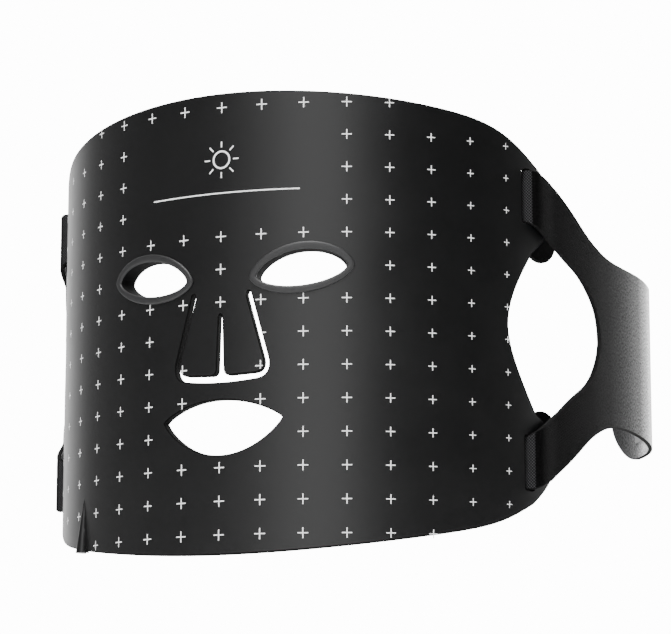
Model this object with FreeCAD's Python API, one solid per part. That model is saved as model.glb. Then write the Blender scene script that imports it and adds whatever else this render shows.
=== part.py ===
"""Flexible light-therapy face mask: a curved silicone sheet with strap wings at both sides."""
import FreeCAD, Part
import math
import os
from FreeCAD import Vector, Base

os.makedirs("parts", exist_ok=True)

# Overall form. The sheet is a vertical cylinder; arc lengths are along its front face.
FRONT_RADIUS = 130.0
SHELL_THICK = 1.6
POCKET_DEPTH = 1.0
LINER_FLOOR = 1.4
BACK_RADIUS = FRONT_RADIUS - SHELL_THICK - POCKET_DEPTH - LINER_FLOOR
FLOOR_RADIUS = BACK_RADIUS + LINER_FLOOR
POCKET_RADIUS = FLOOR_RADIUS + POCKET_DEPTH

# Printed grid, and heights above its lowest row.
COLUMN_PITCH = 18.82
ROW_PITCH = 14.5
MARK_SPANS = (4.8, 4.8, 4.6, 4.4, 4.1, 3.8, 3.3, 2.9)
MARK_STROKE_SHARE = 0.108
PRINT_THICK = 0.08
EYE_HEIGHT = 114.5
TOP_HEIGHT = 195.0
BOTTOM_HEIGHT = -8.5
HALF_LENGTH = 160.0
EAR_WAIST = HALF_LENGTH - 27.6

# Eye inserts, mouth and nose.
EYE_CENTRE = 36.75
EYE_HALF_LENGTH = 23.25
EYE_RISE = 12.6
EYE_DROP = 10.0
RIM_WIDTH = 3.4
RIM_PROUD = 1.0
INSERT_WALL = 1.3
INSERT_DEPTH = 7.5
LIP_THICK = 1.2
LIP_WIDTH = 1.5
BOND_GAP = 0.05
MOUTH_HALF = 28.5
MOUTH_CORNER = 50.0
MOUTH_RISE = 8.5
MOUTH_DROP = 15.5
HINGE_GAP = 0.25
NOSE_TOP = (12.0, 104.8)
NOSE_BRIDGE = (0.75, 96.2)

# Circuit and lamps inside the pocket.
BORDER = 6.0
CIRCUIT_MARGIN = 1.0
CIRCUIT_THICK = 0.2
CIRCUIT_HALF = HALF_LENGTH - 36.0
LED_LENGTH = 3.5
LED_HEIGHT = 2.8
LED_THICK = 0.7
LED_LIFT = 0.05

# Power inlet at the lower edge.
INLET_ARC = -88.0
INLET_BOTTOM = -2.4
INLET_TOP = 25.0
INLET_RADIUS = 3.1
INLET_RISE = 0.4
SOCKET_SINK = 1.1
SOCKET_RADIUS = 2.0
SOCKET_TOP = 7.0
SOCKET_RECESS = 0.8
PLUG_RADIUS = 1.28
PLUG_DEPTH = 7.0
CONTACT_THICK = 0.4
CONTACT_HEIGHT = 0.8

# Straps.
STRAP_THICK = 2.0
STRAP_GAP = 0.3
SLOT_START = HALF_LENGTH - 19.0
SLOT_WIDTH = 5.5
SLOT_END_GAP = 0.5
ARM_INNER = 46.8
ARM_OUTER = 70.8
LOWER_DROP = 1.8
STRAP_CENTRE = 94.2
BEND_GAP = 1.2
BEND_ARC = HALF_LENGTH + 0.2
WING_TURN = 120.0
WING_LENGTH = 184.0
BAND_HALF = 38.0
END_CORNER = 26.0
TAIL_GAP = 0.8
PAD_THICK = 0.35
PLATE_THICK = 0.5
PATCH_THICK = 0.6
UPPER_TAIL_REACH = 124.5
LOWER_TAIL_REACH = 57.0
TAIL_ROUND = 11.5


def flat(s, h):
    """Cylinder parameters of arc length s and height h."""
    return Base.Vector2d(s / FRONT_RADIUS - math.pi / 2, h - EYE_HEIGHT)


def place(s, h, radius):
    """Point in space at arc length s, height h and the given radius."""
    a = s / FRONT_RADIUS
    return Vector(radius * math.sin(a), BACK_RADIUS - radius * math.cos(a), h - EYE_HEIGHT)


def slab(outline, inner, outer):
    """Solid between two radii whose flat outline is a closed chain of point runs.

    A run of two points is a straight line, and a longer run is a smooth curve.
    """
    caps = []
    wires = []
    for radius in (inner, outer):
        surface = Part.Cylinder()
        surface.Radius = radius
        surface.Center = Vector(0, BACK_RADIUS, 0)
        edges = []
        for run in outline:
            if len(run) == 2:
                curve = Part.Geom2d.Line2dSegment(*[flat(*p) for p in run])
            else:
                curve = Part.Geom2d.BSplineCurve2d()
                curve.interpolate([Base.Vector2d(*p) for p in run])
                for i, pole in enumerate(curve.getPoles()):
                    curve.setPole(i + 1, flat(pole.x, pole.y))
            edges.append(curve.toShape(surface))
        wires.append(Part.Wire(edges))
        caps.append(Part.Face(surface, wires[-1]))
    sides = Part.makeLoft(wires, False, True)
    skin = Part.makeShell(sides.Faces + caps)
    skin.sewShape()
    solid = Part.Solid(skin)
    if solid.Volume < 0:
        solid.reverse()
    return solid


def polygon(*points):
    """Outline of straight runs."""
    return [[a, b] for a, b in zip(points, points[1:] + points[:1])]


def rectangle(s0, s1, h0, h1):
    """Straight-sided outline."""
    return polygon((s0, h0), (s1, h0), (s1, h1), (s0, h1))


def mirrored(outline):
    """Outline reflected to the other side, kept in the same turning sense."""
    return [[(-s, h) for s, h in reversed(run)] for run in reversed(outline)]


def reflect(shape):
    """Solid reflected in the plane of symmetry."""
    return shape.mirror(Vector(0, 0, 0), Vector(1, 0, 0))


def fused(shapes):
    """One solid joined from several."""
    return shapes[0].fuse(shapes[1:]).removeSplitter()


def export(name, shape):
    """Write one node."""
    solids = shape.Solids
    body = solids[0] if len(solids) == 1 else Part.makeCompound(solids)
    body.exportStep("parts/" + name + ".step")


# Sheet outline, front face, right half from the top centre to the bottom centre.
tab_top = (HALF_LENGTH - 9, 166.5)
tab_foot = (HALF_LENGTH - 14, 15.5)
ear_top = (HALF_LENGTH - 13, 127.5)
ear_foot = (HALF_LENGTH - 12, 55.5)
ear_side = EAR_WAIST + 5.1
top_edge = [(0, TOP_HEIGHT), (50, TOP_HEIGHT - 2), (100, TOP_HEIGHT - 7.5), (130, TOP_HEIGHT - 15), tab_top]
tab_upper = [tab_top, (HALF_LENGTH - 4, 162), (HALF_LENGTH - 0.7, 155.5), (HALF_LENGTH, 149)]
tab_end_upper = [(HALF_LENGTH, 149), (HALF_LENGTH - 1, 141), (HALF_LENGTH - 6, 134), ear_top]
ear_edge = [ear_top, (ear_side, 112), (EAR_WAIST, 94.2), (ear_side, 75), ear_foot]
tab_end_lower = [ear_foot, (HALF_LENGTH - 6, 51.5), (HALF_LENGTH - 1, 46), (HALF_LENGTH, 38.5)]
tab_lower = [(HALF_LENGTH, 38.5), (HALF_LENGTH - 0.8, 31), (HALF_LENGTH - 4, 25), tab_foot]
bottom_edge = [tab_foot, (130, 7.8), (100, 0.5), (50, BOTTOM_HEIGHT + 2.5), (0, BOTTOM_HEIGHT)]
right_half = [top_edge, tab_upper, tab_end_upper, ear_edge, tab_end_lower, tab_lower, bottom_edge]
sheet_outline = right_half + mirrored(right_half)


def border_edge(edge, shift, limit):
    """Part of a long edge inside the limit, moved inwards, from left to right."""
    kept = [(s, h + shift) for s, h in edge if s < limit - 5]
    a, b = [(p, q) for p, q in zip(edge, edge[1:]) if min(p[0], q[0]) < limit <= max(p[0], q[0])][0]
    part = (limit - a[0]) / (b[0] - a[0])
    kept.append((limit, a[1] + part * (b[1] - a[1]) + shift))
    kept = sorted(set(kept))
    return [(-s, h) for s, h in reversed(kept[1:])] + kept


def pocket_outline(inset, half):
    """Outline of the room between the skins, a given distance inside the long edges."""
    top = border_edge(top_edge, -inset, half)
    bottom = border_edge(bottom_edge, inset, half)
    return [top, [top[-1], bottom[-1]], bottom[::-1], [bottom[0], top[0]]]


def eye_outline(grow):
    """Almond outline of one eye: a stretched circle with narrowed ends and a slight tilt."""
    runs = []
    for rise, first in ((EYE_RISE, 0), (-EYE_DROP, math.pi)):
        run = []
        for i in range(9):
            t = first + math.pi * i / 8
            s = EYE_CENTRE - (EYE_HALF_LENGTH + grow) * math.cos(t)
            bulge = abs(math.sin(t)) ** 1.25 * (abs(rise) + grow) * math.copysign(1, rise)
            run.append((s, 113.8 + 0.097 * (s - EYE_CENTRE) + bulge))
        runs.append(run)
    return runs


def mouth_outline(grow):
    """Lens outline of the mouth opening."""
    runs = []
    for rise, sense in ((MOUTH_RISE + grow, 1), (-MOUTH_DROP - grow, -1)):
        steps = [-1 + i / 4 for i in range(9)]
        runs.append([(sense * u * (MOUTH_HALF + grow), MOUTH_CORNER + rise * (1 - u * u) ** 0.85)
                     for u in steps])
    return runs


# Nose cut-out in the sheet, and one flap standing inside it.
nose_right = [
    [NOSE_BRIDGE, NOSE_TOP],
    [NOSE_TOP, (13.0, 105.9), (14.3, 105.6), (14.8, 104.4)],
    [(14.8, 104.4), (22.7, 75.5)],
    [(22.7, 75.5), (22.6, 71.5), (20.4, 68.3), (16.5, 67.0)],
]
nose_cut = nose_right
nose_cut = nose_cut + [[(16.5, 67.0), (8.5, 66.2), (0, 65.9), (-8.5, 66.2), (-16.5, 67.0)]]
nose_cut = nose_cut + mirrored(nose_right)
nose_cut = nose_cut + [[(-NOSE_BRIDGE[0], NOSE_BRIDGE[1]), NOSE_BRIDGE]]
hinge_run = (NOSE_TOP[0] - NOSE_BRIDGE[0], NOSE_TOP[1] - NOSE_BRIDGE[1])
hinge_length = math.hypot(*hinge_run)
hinge_step = (HINGE_GAP * hinge_run[1] / hinge_length, -HINGE_GAP * hinge_run[0] / hinge_length)
flap_inner = (NOSE_BRIDGE[0] + hinge_step[0], NOSE_BRIDGE[1] + hinge_step[1])
flap_outer = (NOSE_TOP[0] + hinge_step[0], NOSE_TOP[1] + hinge_step[1])
flap_outline = [
    [flap_inner, flap_outer],
    [flap_outer, (20.0, 76.0)],
    [(20.0, 76.0), (20.1, 73.2), (18.6, 71.0), (16.0, 70.2)],
    [(16.0, 70.2), (4.5, 69.6)],
    [(4.5, 69.6), (2.6, 70.2), (1.75, 72.0)],
    [(1.75, 72.0), flap_inner],
]

# Strap slots: one outline for the upper slot, one for the lower.
arm_spans = [(STRAP_CENTRE + ARM_INNER, STRAP_CENTRE + ARM_OUTER)]
arm_spans.append((STRAP_CENTRE - ARM_OUTER - LOWER_DROP, STRAP_CENTRE - ARM_INNER - LOWER_DROP))
slots = [rectangle(SLOT_START, SLOT_START + SLOT_WIDTH, low - SLOT_END_GAP, high + SLOT_END_GAP)
         for low, high in arm_spans]
slots = slots + [mirrored(s) for s in slots]


def through(outline, margin=2.0):
    """Cutter that runs past both faces of the sheet."""
    return slab(outline, BACK_RADIUS - margin, FRONT_RADIUS + margin)


neck = -RIM_WIDTH + INSERT_WALL
cutters = [through(nose_cut), through(mouth_outline(0)), through(eye_outline(neck + BOND_GAP))]
cutters.append(reflect(cutters[-1]))
cutters = cutters + [through(s) for s in slots]

# Socket position and the tool that clears the skins for it.
inlet_axis = place(INLET_ARC, 0, FRONT_RADIUS - SOCKET_SINK)
socket_foot = Vector(inlet_axis.x, inlet_axis.y, INLET_BOTTOM + SOCKET_RECESS - EYE_HEIGHT)
socket_length = SOCKET_TOP - INLET_BOTTOM - SOCKET_RECESS
up = Vector(0, 0, 1)
socket_room = Part.makeCylinder(SOCKET_RADIUS, socket_length, socket_foot, up)
mouth_room = Part.makeCylinder(SOCKET_RADIUS, SOCKET_RECESS + 1, socket_foot - up * (SOCKET_RECESS + 1), up)

# Outer skin.
shell = slab(sheet_outline, POCKET_RADIUS, FRONT_RADIUS).cut(cutters + [socket_room, mouth_room])
export("outer_shell", shell)

# Skin-side liner with the pocket and the seats of the slot plates.
liner = slab(sheet_outline, BACK_RADIUS, POCKET_RADIUS).cut(cutters + [socket_room, mouth_room])
room = slab(pocket_outline(BORDER, CIRCUIT_HALF + CIRCUIT_MARGIN), FLOOR_RADIUS, POCKET_RADIUS + 1)
keep = [eye_outline(BORDER - RIM_WIDTH), mirrored(eye_outline(BORDER - RIM_WIDTH)), mouth_outline(BORDER)]
nose_keep = polygon((-26, 62), (26, 62), (26, 76), (17, 110), (-17, 110), (-26, 76))
keep.append(nose_keep)
room = room.cut([through(k, 4) for k in keep])
plates = []
for low, high in arm_spans:
    ring = slab(rectangle(SLOT_START - 3.5, SLOT_START + SLOT_WIDTH + 2.5, low - 2.5, high + 3),
                FLOOR_RADIUS - PLATE_THICK, FLOOR_RADIUS)
    hole = rectangle(SLOT_START - 1, SLOT_START + SLOT_WIDTH + 1, low - 1.5, high + 1.5)
    ring = ring.cut(through(hole))
    plates.append(ring)
    plates.append(reflect(ring))
liner = liner.cut([room] + plates)
export("inner_liner", liner)
export("slot_plates", Part.makeCompound(plates))

# Flexible circuit against the outer skin, clear of every opening.
circuit_radius = POCKET_RADIUS - CIRCUIT_THICK
circuit_outline = pocket_outline(BORDER + CIRCUIT_MARGIN, CIRCUIT_HALF)
circuit = slab(circuit_outline, circuit_radius, POCKET_RADIUS)
wide = [eye_outline(BORDER - RIM_WIDTH + 1), mirrored(eye_outline(BORDER - RIM_WIDTH + 1))]
wide = wide + [mouth_outline(BORDER + 1)]
wide.append(polygon((-27, 61), (27, 61), (27, 76), (18, 111), (-18, 111), (-27, 76)))
socket_keep = Part.makeCylinder(SOCKET_RADIUS + 0.5, socket_length, socket_foot, up)
circuit = circuit.cut([through(k, 4) for k in wide] + [socket_keep])
export("flex_circuit", circuit)


def led(s, h):
    """One lamp package lying under the circuit."""
    box = Part.makeBox(LED_LENGTH, LED_THICK, LED_HEIGHT, Vector(-LED_LENGTH / 2, 0, -LED_HEIGHT / 2))
    box.rotate(Vector(0, 0, 0), up, math.degrees(s / FRONT_RADIUS))
    box.translate(place(s, h, circuit_radius - LED_LIFT))
    return box


def inside(outline, s, h):
    """Whether a flat point lies inside an outline, by counting crossed edges."""
    crossed = False
    for run in outline:
        for (s0, h0), (s1, h1) in zip(run, run[1:]):
            if (h0 > h) != (h1 > h) and s < s0 + (h - h0) * (s1 - s0) / (h1 - h0):
                crossed = not crossed
    return crossed


def on_circuit(s, h):
    """Whether the lamp's footprint and a little round it lie wholly on the circuit."""
    for i in (-0.8, 0, 0.8):
        for j in (-0.8, 0, 0.8):
            spot = (s + i * LED_LENGTH, h + j * LED_HEIGHT)
            if not inside(circuit_outline, *spot) or any(inside(k, *spot) for k in wide):
                return False
    return True


columns = range(-7, 8)
rows = range(14)
red_spots = [(c * COLUMN_PITCH, r * ROW_PITCH) for c in columns for r in rows]
infrared_spots = [((c + 0.5) * COLUMN_PITCH, r * ROW_PITCH) for c in columns for r in rows]
export("leds_red", Part.makeCompound([led(*p) for p in red_spots if on_circuit(*p)]))
export("leds_infrared", Part.makeCompound([led(*p) for p in infrared_spots if on_circuit(*p)]))


# Printed marks: a cross of two thin curved bars, repeated on the grid and smaller to the sides.
def curved_bar(width, height):
    """Thin bar on the front face, centred on the plane of symmetry at height zero."""
    return slab(rectangle(-width / 2, width / 2, EYE_HEIGHT - height / 2, EYE_HEIGHT + height / 2),
                FRONT_RADIUS, FRONT_RADIUS + PRINT_THICK)


crosses = []
for span in MARK_SPANS:
    stroke = MARK_STROKE_SHARE * span
    crosses.append(fused([curved_bar(span, stroke), curved_bar(stroke, span)]))


def mark(column, row):
    """Cross at one place of the grid."""
    piece = crosses[abs(column)].copy()
    turn = math.degrees(column * COLUMN_PITCH / FRONT_RADIUS)
    piece.rotate(Vector(0, BACK_RADIUS, 0), up, turn)
    piece.translate(Vector(0, 0, row * ROW_PITCH - EYE_HEIGHT))
    return piece


def printed(column, row):
    """Whether the grid place carries a mark on the front face."""
    c = abs(column)
    if (column, row) in ((-5, 0), (-1, 6)):
        return False
    if row == 13:
        return c <= 4
    if row == 0:
        return c <= 5
    if row in (10, 11, 12):
        return c >= 3
    if row == 8:
        return c == 0 or c >= 4
    if row == 3:
        return c >= 2
    if row in (4, 5, 6):
        return c >= 1
    return True


edge_places = [(1, 4), (1, 5), (1, 6), (7, 6), (7, 7)]
sheet_tool = slab(sheet_outline, FRONT_RADIUS - 1, FRONT_RADIUS + 1).cut(cutters[:2])
marks = []
for column in columns:
    for row in rows:
        if not printed(column, row):
            continue
        piece = mark(column, row)
        if (abs(column), row) in edge_places:
            piece = piece.common(sheet_tool)
        marks = marks + piece.Solids
export("printed_marks", Part.makeCompound(marks))

# Plain printed emblem on the forehead: a lamp ring with rays over a thin rule.
emblem = [curved_bar(72.0, 0.6)]
emblem[0].translate(Vector(0, 0, 150.0 - EYE_HEIGHT))


def ring_outline(radius):
    """Circle about the middle of the forehead, in two runs."""
    turns = [[math.pi * (k + i / 4) for i in range(5)] for k in (0, 1)]
    return [[(radius * math.cos(t), 165.0 + radius * math.sin(t)) for t in run] for run in turns]


ring = slab(ring_outline(4.2), FRONT_RADIUS, FRONT_RADIUS + PRINT_THICK)
emblem.append(ring.cut(slab(ring_outline(3.4), FRONT_RADIUS - 1, FRONT_RADIUS + 1)))
for k in range(8):
    ray = math.pi * k / 4
    corners = []
    for along, across in ((5.6, -0.3), (8.2, -0.3), (8.2, 0.3), (5.6, 0.3)):
        corners.append((along * math.cos(ray) - across * math.sin(ray),
                        165.0 + along * math.sin(ray) + across * math.cos(ray)))
    emblem.append(slab(polygon(*corners), FRONT_RADIUS, FRONT_RADIUS + PRINT_THICK))
export("forehead_emblem", Part.makeCompound(emblem))

# Eye inserts: a proud rim, a neck through the sheet and a retaining lip behind it.
neck_outline = eye_outline(neck)
rim = slab(eye_outline(0), FRONT_RADIUS, FRONT_RADIUS + RIM_PROUD)
tube = slab(neck_outline, FRONT_RADIUS - INSERT_DEPTH, FRONT_RADIUS + RIM_PROUD / 2)
lip = slab(eye_outline(neck + LIP_WIDTH), BACK_RADIUS - LIP_THICK, BACK_RADIUS)
insert = fused([rim, tube, lip]).cut(through(eye_outline(-RIM_WIDTH), 6))
export("eye_insert_left", insert)
export("eye_insert_right", reflect(insert))

# Nose flaps: outer and inner skin of each, joined to the sheet along the bridge.
flap_skin = slab(flap_outline, POCKET_RADIUS, FRONT_RADIUS)
flap_liner = slab(flap_outline, BACK_RADIUS, POCKET_RADIUS)
flap_tool = slab(flap_outline, FRONT_RADIUS - 1, FRONT_RADIUS + 1)
flap_marks = mark(1, 5).common(flap_tool).Solids
for side, shape in (("left", lambda s: s), ("right", reflect)):
    export("flap_skin_" + side, shape(flap_skin))
    export("flap_liner_" + side, shape(flap_liner))
    export("flap_mark_" + side, shape(Part.makeCompound(flap_marks)))

# Power inlet: a cover faired onto the front, the socket, its contacts and its lead.
cone_foot = place(INLET_ARC, INLET_BOTTOM, FRONT_RADIUS + INLET_RISE)
cone_tip = place(INLET_ARC, INLET_TOP, FRONT_RADIUS - INLET_RISE)
axis = cone_tip - cone_foot
cone = Part.makeCone(INLET_RADIUS, 0, axis.Length, cone_foot, axis)
sheet_body = slab(sheet_outline, BACK_RADIUS - 1, FRONT_RADIUS)
back_room = Part.makeCylinder(BACK_RADIUS, 60, Vector(0, BACK_RADIUS, -EYE_HEIGHT - 30), up)
cover = cone.cut([sheet_body, back_room, socket_room, mouth_room])
export("inlet_cover", max(cover.Solids, key=lambda s: s.Volume))
plug_hole = Part.makeCylinder(PLUG_RADIUS, PLUG_DEPTH, socket_foot, up)
contacts = []
for lift in (1.6, 5.0):
    spot = socket_foot + up * lift
    disc = Part.makeCylinder(PLUG_RADIUS + CONTACT_THICK, CONTACT_HEIGHT, spot, up)
    contacts.append(disc.cut(plug_hole))
export("inlet_contacts", Part.makeCompound(contacts))
export("inlet_socket", socket_room.cut([plug_hole] + contacts))
lead = slab(rectangle(INLET_ARC - 1.5, INLET_ARC + 1.5, SOCKET_TOP, SOCKET_TOP + 4),
            circuit_radius - 0.4, circuit_radius)
export("inlet_lead", lead)

# Straps. Plan path of a wing: two arcs that start at the outer end of the sheet. The left wing
# rests curled round, and the right one rests more open. Each path is the turn at the bend in
# degrees, the radius of the first arc and the radius of the second.
LEFT_PATH = (0.0, 212.0, 85.0)
RIGHT_PATH = (-10.0, 300.0, 300.0)
strap_mid = FRONT_RADIUS + STRAP_GAP + STRAP_THICK / 2
start_point = place(BEND_ARC, EYE_HEIGHT, strap_mid)


def outward(turn):
    """Level unit vector away from the sheet's axis at a turn."""
    return Vector(math.sin(turn), -math.cos(turn), 0)


def wing_point(path, length, offset, height=0.0):
    """Point of a wing's path, moved outwards by an offset."""
    opening, near, far = path
    start = BEND_ARC / FRONT_RADIUS + math.radians(opening)
    turn = start + min(length, WING_TURN) / near
    centre = start_point - outward(start) * near
    radius = near
    if length > WING_TURN:
        centre = centre + outward(turn) * (near - far)
        turn = turn + (length - WING_TURN) / far
        radius = far
    spot = centre + outward(turn) * (radius + offset)
    return Vector(spot.x, spot.y, height)


def ribbon(path, first, last, inner, outer, low, high):
    """Upright band along a path between two offsets and two heights."""
    stops = [first] + [WING_TURN] * (first < WING_TURN < last) + [last]
    sides = []
    for offset in (inner, outer):
        arcs = []
        for a, b in zip(stops, stops[1:]):
            points = [wing_point(path, x, offset, low - EYE_HEIGHT) for x in (a, (a + b) / 2, b)]
            arcs.append(Part.Arc(*points).toShape())
        sides.append(arcs)
    ends = [Part.makeLine(*[wing_point(path, x, o, low - EYE_HEIGHT) for o in (inner, outer)])
            for x in (first, last)]
    loop = Part.Wire(Part.__sortEdges__(sides[0] + sides[1] + ends))
    return Part.Face(loop).extrude(up * (high - low))


def side_view(path, runs):
    """Prism across the object whose side outline is given by path length and height."""
    edges = []
    for run in runs:
        points = [Vector(0, wing_point(path, x, 0).y, h - EYE_HEIGHT) for x, h in run]
        if len(points) == 2:
            edges.append(Part.makeLine(*points))
        else:
            curve = Part.BSplineCurve()
            curve.interpolate(points)
            edges.append(curve.toShape())
    return Part.Face(Part.Wire(edges)).extrude(Vector(2 * FRONT_RADIUS, 0, 0))


upper = [(BEND_GAP, 63.0), (5.2, 60.3), (14.2, 54.1), (25.5, 46.6), (33, 42.8), (43, 39.6), (54, 38.3),
         (70, BAND_HALF)]
crotch_upper = [(BEND_GAP, 35.0), (6.4, 31.9), (14.2, 27.8), (24, 19.9), (30.2, 12.2), (32.6, 5.0),
                (33.2, -1.0)]
crotch_lower = [(BEND_GAP, 36.2), (6.4, 32.0), (14.2, 26.7), (22.8, 20.8), (29, 13.0), (32.2, 6.0),
                (33.2, 1.0)]
corner = [(WING_LENGTH - END_CORNER * (1 - math.sin(t)), BAND_HALF - END_CORNER * (1 - math.cos(t)))
          for t in [math.pi * i / 8 for i in range(5)]]


def heights(run, sense):
    """Run of half heights turned into heights about the strap's centre line."""
    return [(x, STRAP_CENTRE + sense * h) for x, h in run]


wing_outline = [heights(upper, 1), heights([upper[-1], corner[0]], 1), heights(corner, 1)]
wing_outline.append([heights(corner, 1)[-1], heights(corner, -1)[-1]])
wing_outline = wing_outline + [heights(corner, -1)[::-1], heights([corner[0], upper[-1]], -1)]
wing_outline = wing_outline + [heights(upper, -1)[::-1], heights([upper[0], crotch_lower[0]], -1)]
wing_outline = wing_outline + [heights(crotch_lower, -1), heights(crotch_upper, 1)[::-1]]
wing_outline.append(heights([crotch_upper[0], upper[0]], 1))
half_strap = STRAP_THICK / 2
wings = []
for path in (LEFT_PATH, RIGHT_PATH):
    band = ribbon(path, BEND_GAP, WING_LENGTH, -half_strap, half_strap, 0, 190)
    wings.append(band.common(side_view(path, wing_outline)))
export("wing_left", wings[0])
export("wing_right", reflect(wings[1]))
patch_low = STRAP_CENTRE - BAND_HALF + 6
patch_high = STRAP_CENTRE + BAND_HALF - 6
hook_patch = ribbon(LEFT_PATH, 136, 158, -half_strap - PATCH_THICK, -half_strap, patch_low, patch_high)
loop_patch = ribbon(RIGHT_PATH, 112, 158, half_strap, half_strap + PATCH_THICK, patch_low, patch_high)
export("closure_hook_left", hook_patch)
export("closure_loop_right", reflect(loop_patch))

# Strap ends at the slots: the fold fixed round the slot bar, and the tail behind the sheet.
fold_start = SLOT_START + (SLOT_WIDTH - STRAP_THICK) / 2
fold_end = BEND_ARC - BEND_GAP
knee = BEND_ARC - 5.0
tail_top = BACK_RADIUS - TAIL_GAP
tail_arc = SLOT_START + 15.5
arms = (("upper", 1, UPPER_TAIL_REACH, 0.0, crotch_upper[0][1] + 1.0),
        ("lower", -1, LOWER_TAIL_REACH, LOWER_DROP, crotch_lower[0][1] + 1.0))
for name, sense, reach, drop, inner_end in arms:
    inner = ARM_INNER + drop
    outer = ARM_OUTER + drop

    def level(h):
        """Height of a half height on this arm."""
        return STRAP_CENTRE + sense * h

    over = slab(polygon((fold_start, level(inner)), (fold_end, level(inner_end)),
                        (fold_end, level(upper[0][1] + 1.6)), (knee, level(outer - 4.6)),
                        (fold_start, level(outer))),
                FRONT_RADIUS + STRAP_GAP, FRONT_RADIUS + STRAP_GAP + STRAP_THICK)
    low, high = sorted((level(inner), level(outer)))
    leg = slab(rectangle(fold_start, fold_start + STRAP_THICK, low, high),
               tail_top + STRAP_GAP, FRONT_RADIUS + STRAP_GAP + STRAP_THICK)
    fold = over.fuse(leg)
    fold = fused(fold.Solids) if len(fold.Solids) > 1 else fold
    end_mid = reach + sense * TAIL_ROUND
    round_end = [(tail_arc + TAIL_ROUND * math.cos(t), end_mid - sense * TAIL_ROUND * math.sin(t))
                 for t in [math.pi * i / 6 for i in range(7)]]
    tail_runs = [[(fold_start, level(outer - 4)), (tail_arc + 5, level(outer - 10))]]
    tail_runs.append([(tail_arc + 5, level(outer - 10)), round_end[0]])
    tail_runs.append(round_end)
    tail_runs.append([round_end[-1], (fold_start, level(inner))])
    tail_runs.append([(fold_start, level(inner)), (fold_start, level(outer - 4))])
    tail = slab(tail_runs, tail_top - STRAP_THICK, tail_top)
    pad = sorted((level(inner + 2), level(outer - 12)))
    pad_outline = rectangle(tail_arc - 9.0, tail_arc + 0.5, *pad)
    hook = slab(pad_outline, tail_top, tail_top + PAD_THICK)
    loop = slab(pad_outline, BACK_RADIUS - PAD_THICK, BACK_RADIUS)
    for side, shape in (("left", lambda s: s), ("right", reflect)):
        export("strap_fold_%s_%s" % (name, side), shape(fold))
        export("strap_tail_%s_%s" % (name, side), shape(tail))
        export("hook_pad_%s_%s" % (name, side), shape(hook))
        export("loop_pad_%s_%s" % (name, side), shape(loop))
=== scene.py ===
"""Flexible light-therapy face mask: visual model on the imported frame, in metres."""
import math
import bpy
import numpy as np
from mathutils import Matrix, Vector, geometry


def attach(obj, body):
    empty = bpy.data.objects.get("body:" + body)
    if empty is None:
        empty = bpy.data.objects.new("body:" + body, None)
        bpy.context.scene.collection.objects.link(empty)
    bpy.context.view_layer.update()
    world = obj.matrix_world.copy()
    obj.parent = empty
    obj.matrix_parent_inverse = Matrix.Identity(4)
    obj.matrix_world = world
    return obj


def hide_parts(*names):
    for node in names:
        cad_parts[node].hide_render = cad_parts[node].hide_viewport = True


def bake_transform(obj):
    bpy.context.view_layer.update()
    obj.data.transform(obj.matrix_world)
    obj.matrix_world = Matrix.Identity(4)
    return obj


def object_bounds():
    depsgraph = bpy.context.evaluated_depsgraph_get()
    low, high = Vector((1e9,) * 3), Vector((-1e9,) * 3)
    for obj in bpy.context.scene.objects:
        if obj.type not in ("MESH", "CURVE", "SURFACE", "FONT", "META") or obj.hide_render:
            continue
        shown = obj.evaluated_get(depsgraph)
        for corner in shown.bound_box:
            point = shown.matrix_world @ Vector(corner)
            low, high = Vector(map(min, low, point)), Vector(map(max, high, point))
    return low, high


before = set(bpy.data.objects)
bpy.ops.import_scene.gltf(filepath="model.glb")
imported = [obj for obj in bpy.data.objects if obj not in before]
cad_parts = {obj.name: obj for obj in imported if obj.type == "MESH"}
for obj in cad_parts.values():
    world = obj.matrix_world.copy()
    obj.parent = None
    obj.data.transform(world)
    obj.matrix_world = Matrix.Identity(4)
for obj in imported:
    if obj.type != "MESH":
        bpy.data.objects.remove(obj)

cad_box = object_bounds()

# Camera. It stands low in front of the wearer's left cheek and looks slightly up.
# The aim point is between the sheet and the straps, at mid height.
AZIMUTH = math.radians(23.488)
LIFT = math.radians(-10.104)
AIM = Vector((0.0546, -0.0040, -0.0235))
DISTANCE = 1.1762
back = Vector((math.sin(AZIMUTH) * math.cos(LIFT), -math.cos(AZIMUTH) * math.cos(LIFT), math.sin(LIFT)))
lens = bpy.data.cameras.new("camera")
lens.lens = 147.96
lens.sensor_width = 36.0
lens.clip_start = 0.05
lens.clip_end = 30.0
camera = bpy.data.objects.new("camera", lens)
bpy.context.scene.collection.objects.link(camera)
camera.location = AIM + back * DISTANCE
camera.rotation_mode = "QUATERNION"
camera.rotation_quaternion = (-back).to_track_quat("-Z", "Y")
bpy.context.scene.camera = camera


# Studio. A white room seen by the eye, and a dimmer surround for the gloss: pale behind,
# soft in front, and dark on the wearer's left, with a pale floor well below the straps. Small
# lamps above, below and behind light the ink and the straps' edges.
def add(tree, kind, **values):
    """New node, with its properties and its sockets' values set by name."""
    node = tree.nodes.new(kind)
    for key, value in values.items():
        if hasattr(node, key):
            setattr(node, key, value)
        else:
            node.inputs[key.replace("_", " ")].default_value = value
    return node


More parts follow.
